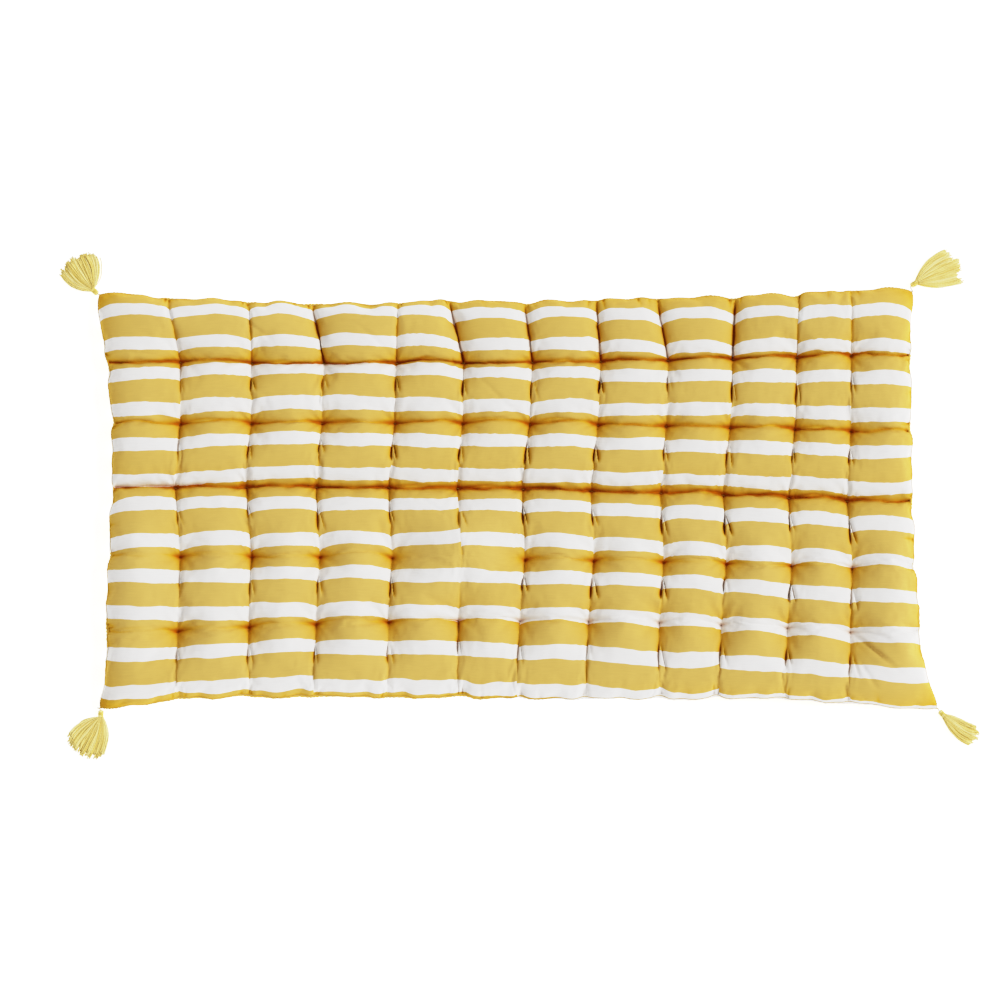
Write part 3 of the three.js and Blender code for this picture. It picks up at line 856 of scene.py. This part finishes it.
def press_fine_folds(mesh):
    """Sinks the narrow folds that the filling squeezes shut, along the creases and away from the ties, and
    keeps a painted shade that darkens the cloth's colour in the valleys, the folds, round the ties, beside
    the seam and on the underside's edge below it.
    """
    folds = make_folds()
    tucks = make_tucks()
    shades = mesh.attributes.new("shade", "FLOAT", "POINT")
    for vert, place, shade in zip(mesh.vertices, mesh.attributes["puffs"].data, shades.data):
        u, v, side = place.vector
        if side > 0.9:
            # painted shade: the colour darker in the valleys, in the narrow folds and round the ties
            valley = max(0, min(1, (PAINTED_SHADE["high"] - vert.co.z) / (PAINTED_SHADE["high"] - PAINTED_SHADE["low"])))
            tuck = tuck_depth(tucks, u, v)
            vert.co.z -= max(tuck, fold_depth(folds, u, v, FOLDS["width"])) + wrinkle_depth(u, v)
            fold = max(tuck, fold_depth(folds, u, v, PAINTED_SHADE["fold_width"]))
            fold = max(0, min(1, fold / PAINTED_SHADE["fold_depth"]))
            shade.value = PAINTED_SHADE["valley"] * valley ** PAINTED_SHADE["valley_power"] + PAINTED_SHADE["fold"] * fold
            if is_tied(round(u), round(v)):
                from_tie = PUFF * math.hypot((u - round(u)) * PAINTED_SHADE["tie_wide"], v - round(v))
                shade.value += PAINTED_SHADE["tie"] * math.exp(-from_tie / PAINTED_SHADE["tie_reach"])
        # painted shadow beside the seam, and painted shade on the underside's edge below it
        from_edge = PUFF * from_seam(u, v)
        painted_seam_shadow = PAINTED_SHADE["seam"] * (1 - from_edge / PAINTED_SHADE["seam_reach"])
        painted_wall_shade = PAINTED_SHADE["wall"] * (1 - from_edge / PAINTED_SHADE["wall_reach"]) if side < -0.1 else 0
        shade.value = max(shade.value, painted_seam_shadow, painted_wall_shade)


def new_material(name):
    material = bpy.data.materials.new(name)
    material.use_nodes = True
    tree = material.node_tree
    return material, tree, tree.nodes["Principled BSDF"]


def add_node(tree, kind, inputs=(), **settings):
    """A node with its settings. inputs maps a socket's name or number to a value or to another socket."""
    node = tree.nodes.new("ShaderNode" + kind)
    for name, value in settings.items():
        setattr(node, name, value)
    for key, value in dict(inputs).items():
        if isinstance(value, bpy.types.NodeSocket):
            tree.links.new(value, node.inputs[key])
        else:
            node.inputs[key].default_value = value
    return node


def maths(tree, operation, *values):
    return add_node(tree, "Math", dict(enumerate(values)), operation=operation).outputs[0]


def set_sockets(shader, **values):
    """Sets a shader's own sockets. An underscore in a socket's name stands for a space."""
    for name, value in values.items():
        shader.inputs[name.replace("_", " ")].default_value = value


def on_cloth(tree, cloth, look):
    """The cloth's map, stretched for one of its patterns."""
    return add_node(tree, "Mapping", {"Vector": cloth, "Scale": look["stretch"]}).outputs[0]


def striped_cotton():
    material, tree, shader = new_material("striped_cotton")
    cloth = add_node(tree, "UVMap", uv_map="cloth").outputs[0]
    axes = add_node(tree, "SeparateXYZ", {0: cloth})
    waver_place = {"Vector": on_cloth(tree, cloth, WAVER), "Scale": WAVER["scale"]}
    waver = add_node(tree, "TexNoise", {**waver_place, "Detail": 2, "Roughness": 0.5})
    shift = maths(tree, "MULTIPLY", maths(tree, "SUBTRACT", waver.outputs["Fac"], 0.5), WAVER["size"])
    along = maths(tree, "ADD", axes.outputs["Y"], shift)
    from_white = maths(tree, "PINGPONG", along, 0.5)
    edge = {"From Min": WHITE_SHARE / 2 - PRINT_EDGE, "From Max": WHITE_SHARE / 2 + PRINT_EDGE}
    gold = add_node(tree, "MapRange", {"Value": from_white, **edge}, interpolation_type="SMOOTHSTEP")
    slub_place = {"Vector": on_cloth(tree, cloth, SLUBS), "Scale": 1}
    slub = add_node(tree, "TexNoise", {**slub_place, "Detail": 3}).outputs["Fac"]
    # the painted shade kept on the cover, which darkens its colours
    shade = add_node(tree, "Attribute", attribute_name="shade").outputs["Fac"]
    white_painted_shades, gold_painted_shades = (painted_shades_of(tree, shade, colours) for colours in (WHITE_CLOTH_AND_PAINTED_SHADE, GOLD_CLOTH_AND_PAINTED_SHADE))
    colour = mixed_colour(tree, gold.outputs[0], white_painted_shades, gold_painted_shades)
    brightness = maths(tree, "MULTIPLY_ADD", slub, SLUBS["tone"], 1 - SLUBS["tone"] / 2)
    colour = add_node(tree, "HueSaturation", {"Value": brightness, "Color": colour}).outputs[0]
    tree.links.new(colour, shader.inputs["Base Color"])
    weave = add_node(tree, "TexChecker", {"Vector": on_cloth(tree, cloth, WEAVE), "Scale": 1})
    crumple_place = {"Vector": cloth, "Scale": CRUMPLE["scale"]}
    crumple = add_node(tree, "TexNoise", {**crumple_place, "Detail": 4, "Roughness": 0.55})
    relief = maths(tree, "MULTIPLY", weave.outputs["Fac"], WEAVE["relief"])
    relief = maths(tree, "MULTIPLY_ADD", slub, SLUBS["relief"], relief)
    relief = maths(tree, "MULTIPLY_ADD", crumple.outputs["Fac"], CRUMPLE["relief"], relief)
    bump = add_node(tree, "Bump", {"Height": relief, "Strength": 0.5, "Distance": 0.0006})
    tree.links.new(bump.outputs[0], shader.inputs["Normal"])
    set_sockets(shader, Roughness=0.9, Sheen_Weight=0.04, Sheen_Roughness=0.5, Specular_IOR_Level=0.15)
    return material


def painted_shades_of(tree, shade, colours):
    """One colour of the cloth: its own colour on a puff's crown, with painted shade over its sides and down
    into the crease.
    """
    ramp = add_node(tree, "ValToRGB", {"Fac": shade})
    ramp.color_ramp.elements.new(PAINTED_SIDE_STOP)
    for stop, colour in zip(ramp.color_ramp.elements, colours):
        stop.color = (*colour, 1)
    return ramp.outputs["Color"]


def mixed_colour(tree, factor, first, second):
    return add_node(tree, "Mix", {0: factor, 6: first, 7: second}, data_type="RGBA").outputs[2]


cover = make_cover()
cover.data.materials.clear()
cover.data.materials.append(striped_cotton())
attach(cover, "root")
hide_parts("mattress")


def straight_yarn(sides, steps):
    """A straight yarn one unit long. The map "yarn" holds the turn round it and the place along it."""
    yarn = bmesh.new()
    bmesh.ops.create_cone(yarn, cap_ends=True, segments=sides, radius1=1, radius2=1, depth=1)
    bmesh.ops.translate(yarn, verts=yarn.verts, vec=(0, 0, 0.5))
    upright = [edge for edge in yarn.edges if abs(edge.verts[0].co.z - edge.verts[1].co.z) > 0.5]
    bmesh.ops.subdivide_edges(yarn, edges=upright, cuts=steps - 1)
    yarn.verts.layers.float.new("shade")
    yarn.verts.layers.float.new("along")
    turned = yarn.loops.layers.uv.new("yarn")
    for face in yarn.faces:
        middle = face.calc_center_median()
        facing = math.atan2(middle.y, middle.x)
        for loop in face.loops:
            turn = math.remainder(math.atan2(loop.vert.co.y, loop.vert.co.x) - facing, 2 * math.pi)
            loop[turned].uv = ((facing + turn) / (2 * math.pi), loop.vert.co.z)
    return finished_mesh("yarn", yarn)


def lay_yarn(bunch, yarn, route, radii, shade):
    """Adds one yarn to a bunch, bent along its route, with its radius at each point of it."""
    before = len(bunch.verts)
    bunch.from_mesh(yarn)
    shades = bunch.verts.layers.float["shade"]
    lengths = bunch.verts.layers.float["along"]
    last = len(route) - 1
    side = None
    rings = []
    walked = 0
    for step, point in enumerate(route):
        ahead = (route[min(step + 1, last)] - route[max(step - 1, 0)]).normalized()
        side = turned_on.rotation_difference(ahead) @ side if step else ahead.orthogonal().normalized()
        turned_on = ahead
        walked += (point - route[step - 1]).length if step else 0
        rings.append((point, side, ahead.cross(side), radii[step], walked))
    for vert in bunch.verts[before:]:
        point, side, up, radius, length = rings[round(vert.co.z * last)]
        vert.co = point + (side * vert.co.x + up * vert.co.y) * radius
        vert[shades] = shade
        vert[lengths] = length


def finished_bunch(name, bunch, material):
    piece = add_object(name, finished_mesh(name, bunch))
    piece.data.materials.append(material)
    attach(piece, "root")
    return piece


def heading(turn):
    return Vector((math.cos(math.radians(turn)), math.sin(math.radians(turn)), 0))


def neck_point(tassel, distance):
    start = Vector((tassel["x"] + SHIFT.x, tassel["y"] + SHIFT.y, NECK["height"]))
    return start + heading(tassel["neck"]) * distance


def neck_radius(t):
    for (start, low), (end, high) in zip(NECK_PROFILE, NECK_PROFILE[1:]):
        if t <= end:
            return mix(low, high, (t - start) / (end - start))
    return NECK_PROFILE[-1][1]


def round_neck(tassel, angle, radius):
    """A direction square to the neck, turned round it."""
    ahead = heading(tassel["neck"])
    sideways = Vector((-ahead.y, ahead.x, 0))
    return (sideways * math.cos(angle) + Vector((0, 0, 1)) * math.sin(angle)) * radius


def wind_neck(bunch, yarn, tassel, chance):
    """The folded yarns of the neck, an outer ring of them round a core."""
    steps = YARN["steps"]
    for yarns, share in ((NECK["yarns"], 1), (NECK["core_yarns"], NECK["core"])):
        for place in range(yarns):
            angle = 2 * math.pi * (place + NECK["uneven"] * chance.uniform(-1, 1)) / yarns
            route = [
                neck_point(tassel, NECK["length"] * step / steps)
                + round_neck(tassel, angle + NECK["twist"] * step / steps, neck_radius(step / steps) * share)
                for step in range(steps + 1)
            ]
            lay_yarn(bunch, yarn, route, [YARN["radius"]] * (steps + 1), chance.random())


def comb_strand(bunch, yarn, tassel, across, up, turn, length, rise, shade, chance):
    """One strand, out along the neck, then down and outwards to where it rests in the fan."""
    ahead = heading(tassel["neck"])
    out = heading(turn)
    width = ROOTS["within"] * math.sqrt(max(0, 1 - up * up))
    root = neck_point(tassel, NECK["length"] - ROOTS["inside"]) + round_neck(tassel, 0, 2 * across * width)
    root.z += up * ROOTS["within"]
    tip = neck_point(tassel, NECK["length"]) + out * length
    tip.z = YARN["radius"] + rise
    aside = turn - tassel["fan"]
    leave = root + ahead * length * FAN_BEND["along_neck"]
    leave += heading(tassel["fan"] + aside * FAN_BEND["open"]) * length * FAN_BEND["outwards"]
    closing = heading(tassel["fan"] + tassel["curl"] + aside * FAN_BEND["close"])
    settle = tip - closing * length * FAN_BEND["settle"]
    steps = YARN["steps"]
    route = interpolate_bezier(root, leave, settle, tip, steps + 1)
    sway = chance.uniform(-1, 1) * YARN["sway"]
    waves = chance.uniform(*YARN["waves"])
    sideways = Vector((-out.y, out.x, 0))
    route = [
        point + sideways * sway * (step / steps) * math.sin(waves * math.pi * step / steps)
        for step, point in enumerate(route)
    ]
    radii = [mix(YARN["root"], YARN["radius"], min(1, 3 * step / steps)) for step in range(steps + 1)]
    for point, radius in zip(route, radii):
        point.z = max(point.z, radius)
    lay_yarn(bunch, yarn, route, radii, shade)


def comb_fan(bunch, yarn, tassel, chance):
    for lock in range(LOCKS["locks"]):
        middle = (lock + chance.uniform(0.2, 0.8)) / LOCKS["locks"] - 0.5
        reach = 1 + LOCKS["uneven"] * chance.uniform(-1, 0.7)
        lift, tone = chance.random(), chance.random()
        for _ in range(LOCKS["strands"]):
            across = max(-0.5, min(0.5, middle + chance.gauss(0, LOCKS["spread"])))
            up = chance.uniform(-0.9, 0.9)
            length = tassel["length"] * reach * (1 - LOCKS["shorter_at_sides"] * across * across)
            turn = tassel["fan"] + 2 * tassel["spread"] * across
            rise = LOCKS["rise"] * (0.55 * (up + 1) / 2 + 0.35 * lift) * chance.uniform(0.6, 1)
            shade = 0.45 * tone + 0.55 * chance.random()
            length *= chance.uniform(0.92, 1.03)
            comb_strand(bunch, yarn, tassel, across, up, turn, length, rise, shade, chance)
    for turn, length in tassel["strays"]:
        across = max(-0.5, min(0.5, (turn - tassel["fan"]) / (2 * tassel["spread"])))
        comb_strand(bunch, yarn, tassel, across, 0, turn, length, 0, 0.7, chance)


def make_tassel(corner, tassel, materials):
    chance = random.Random(corner)
    yarn = straight_yarn(YARN["sides"], YARN["steps"])
    bunch = bmesh.new()
    wind_neck(bunch, yarn, tassel, chance)
    comb_fan(bunch, yarn, tassel, chance)
    piece = finished_bunch(f"yarn_tassel_{corner}", bunch, materials["tassel_yarn"])
    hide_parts(f"tassel_{corner}")


def make_binding(corner, tassel, materials):
    """Thread wound round the neck's waist, with both ends tucked in."""
    steps = BINDING["turns"] * BINDING["steps_per_turn"]
    thread = straight_yarn(BINDING["sides"], steps)
    outside = neck_radius(0.5) + YARN["radius"] + BINDING["thread"] * 0.6
    route = []
    for step in range(steps + 1):
        turns = BINDING["turns"] * (step / steps - 0.5)
        tucked = max(0, abs(turns) - BINDING["turns"] / 2 + BINDING["tuck"]) / BINDING["tuck"]
        at = neck_point(tassel, NECK["length"] / 2 + turns * 2 * BINDING["thread"])
        route.append(at + round_neck(tassel, 2 * math.pi * turns, outside - tucked * 3 * BINDING["thread"]))
    bunch = bmesh.new()
    lay_yarn(bunch, thread, route, [BINDING["thread"]] * (steps + 1), 0.3)
    piece = finished_bunch(f"wound_thread_{corner}", bunch, materials["binding_thread"])
    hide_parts(f"binding_{corner}")


def make_hanger(corner, tassel, materials):
    """The short twisted cord from a corner of the cover down to the tassel's neck."""
    place = CORNERS[corner] + SHIFT
    ear = Vector((place.x, place.y, EAR_HEIGHT))
    neck = neck_point(tassel, 0)
    away = (neck - ear) * Vector((1, 1, 0))
    away.normalize()
    start = ear - away * HANGER["into_ear"]
    end = neck + heading(tassel["neck"]) * NECK["length"] * 0.1
    reach = (end - start).length * HANGER["bend"]
    steps = HANGER["steps"]
    leave, settle = start + away * reach, end - heading(tassel["neck"]) * reach
    middle = interpolate_bezier(start, leave, settle, end, steps + 1)
    ply = straight_yarn(HANGER["sides"], steps)
    bunch = bmesh.new()
    for number in range(HANGER["plies"]):
        route = []
        for step, point in enumerate(middle):
            along = (middle[min(step + 1, steps)] - middle[max(step - 1, 0)]).normalized()
            square = along.cross(Vector((0, 0, 1))).normalized()
            angle = 2 * math.pi * ((point - start).length / HANGER["pitch"] + number / HANGER["plies"])
            off = square * math.cos(angle) + along.cross(square) * math.sin(angle)
            route.append(point + off * HANGER["ply"] * 0.85)
        lay_yarn(bunch, ply, route, [HANGER["ply"]] * (steps + 1), 0.5)
    piece = finished_bunch(f"twisted_cord_{corner}", bunch, materials["hanging_cord"])
    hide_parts(f"hanger_{corner}")


def make_stitches(material):
    """The short stitch at the bottom of each tied point."""
    chance = random.Random(8)
    thread = straight_yarn(STITCH["sides"], STITCH["steps"])
    bunch = bmesh.new()
    steps = STITCH["steps"]
    for (column, row), place in LATTICE.items():
        if on_side(column, row) or (column, row) == UNTIED:
            continue
        across = heading(STITCH["turn"] * chance.uniform(-1, 1)) * STITCH["length"]
        middle = Vector((place.x, place.y, TUFT_TOP - STITCH["sunk"]))
        route = []
        for step in range(steps + 1):
            from_middle = 2 * step / steps - 1
            sunk = Vector((0, 0, from_middle**2 * 4 * STITCH["sunk"]))
            route.append(middle + across * from_middle / 2 - sunk)
        lay_yarn(bunch, thread, route, [STITCH["radius"]] * (steps + 1), chance.random())
    piece = finished_bunch("tie_stitches", bunch, material)


def make_seam_thread(material):
    """The thread that closes the seam, a thin line all round the cover, whose dark colour is also painted
    shadow of the seam's groove.
    """
    places = cover.data.attributes["puffs"].data
    points = [(place.vector, vert.co) for place, vert in zip(places, cover.data.vertices)]
    bunch = bmesh.new()
    for side, level in ((1, 0), (1, DEEP), (0, 0), (0, ACROSS)):
        line = [(place[1 - side], at) for place, at in points if abs(place[side] - level) < GRID_ERROR]
        route = [Vector(at) for _, at in sorted(line, key=lambda point: point[0])]
        thread = straight_yarn(SEAM_THREAD["sides"], len(route) - 1)
        lay_yarn(bunch, thread, route, [SEAM_THREAD["radius"]] * len(route), 0.5)
    piece = finished_bunch("seam_thread", bunch, material)


def twisted_yarn(name, dark, light, pitch, relief):
    """Yarn whose plies run round it. Each strand has its own shade between dark and light."""
    material, tree, shader = new_material(name)
    shade = add_node(tree, "Attribute", attribute_name="shade").outputs["Fac"]
    along = add_node(tree, "Attribute", attribute_name="along").outputs["Fac"]
    turned = add_node(tree, "UVMap", uv_map="yarn").outputs[0]
    turn = add_node(tree, "SeparateXYZ", {0: turned}).outputs["X"]
    place = {"Vector": add_node(tree, "TexCoord").outputs["Object"], "Scale": FIBRES["scale"]}
    fibres = add_node(tree, "TexNoise", {**place, "Detail": 3}).outputs["Fac"]
    plies = maths(tree, "MULTIPLY_ADD", along, 1 / pitch, maths(tree, "MULTIPLY", turn, 2))
    groove = maths(tree, "SINE", maths(tree, "MULTIPLY", plies, 2 * math.pi))
    tone = maths(tree, "MULTIPLY_ADD", maths(tree, "SUBTRACT", fibres, 0.5), FIBRES["tone"], shade)
    # painted shade in the plies' grooves and painted light on their crests
    tone = maths(tree, "MULTIPLY_ADD", groove, FIBRES["ply_painted_shade"], tone)
    colours = add_node(tree, "ValToRGB", {"Fac": tone})
    for stop, colour in zip(colours.color_ramp.elements, (dark, light)):
        stop.color = (*colour, 1)
    tree.links.new(colours.outputs["Color"], shader.inputs["Base Color"])
    height = maths(tree, "MULTIPLY_ADD", fibres, FIBRES["relief"], groove)
    bump = add_node(tree, "Bump", {"Height": height, "Strength": 0.6, "Distance": relief})
    tree.links.new(bump.outputs[0], shader.inputs["Normal"])
    set_sockets(shader, Roughness=0.85, Sheen_Weight=0.2, Sheen_Roughness=0.5, Specular_IOR_Level=0.3)
    return material


materials = {name: twisted_yarn(name, **look) for name, look in YARN_LOOKS.items()}
for corner, tassel in TASSELS.items():
    make_tassel(corner, tassel, materials)
    make_binding(corner, tassel, materials)
    make_hanger(corner, tassel, materials)
make_stitches(materials["tie_thread"])
make_seam_thread(materials["seam_thread"])


def make_stage():
    """A plain pale floor that gives off a little light."""
    ground = bmesh.new()
    bmesh.ops.create_grid(ground, x_segments=1, y_segments=1, size=FLOOR["half"])
    floor = add_object("floor", finished_mesh("floor", ground))
    material, _, shader = new_material("pale_floor")
    set_sockets(shader, Base_Color=FLOOR["colour"], Roughness=FLOOR["roughness"])
    set_sockets(shader, Emission_Color=(1, 1, 1, 1), Emission_Strength=FLOOR["glow"])
    floor.data.materials.append(material)


def add_light(name, place, strength, angle):
    data = bpy.data.lights.new(name, "SUN")
    data.energy = strength
    data.angle = math.radians(angle)
    light = add_object(name, data)
    light.location = place
    light.rotation_euler = Vector(place).to_track_quat("Z", "Y").to_euler()


def develop():
    """The photograph's tones: deep darks and soft whites."""
    view = bpy.context.scene.view_settings
    view.view_transform = "Standard"
    view.use_curve_mapping = True
    tones = view.curve_mapping
    tones.white_level = (TONE_WHITE, TONE_WHITE, TONE_WHITE)
    for place, value in TONES:
        tones.curves[3].points.new(place, value)
    tones.update()


def make_camera():
    data = bpy.data.cameras.new("camera")
    data.lens = CAMERA["sensor"] * 1000 * CAMERA["distance"] / CAMERA["frame_width"]
    data.clip_end = 100
    camera = add_object("camera", data)
    elevation = math.radians(CAMERA["elevation"])
    back = Vector((0, -math.cos(elevation), math.sin(elevation)))
    camera.location = Vector(CAMERA["aim"]) + back * CAMERA["distance"]
    camera.rotation_euler = (math.pi / 2 - elevation, 0, 0)
    bpy.context.scene.camera = camera


def add_sky():
    world = bpy.data.worlds.new("studio")
    world.use_nodes = True
    set_sockets(world.node_tree.nodes["Background"], Color=(1, 1, 1, 1), Strength=SKY)
    bpy.context.scene.world = world


make_stage()
add_light("key", **KEY)
add_sky()
develop()
make_camera()
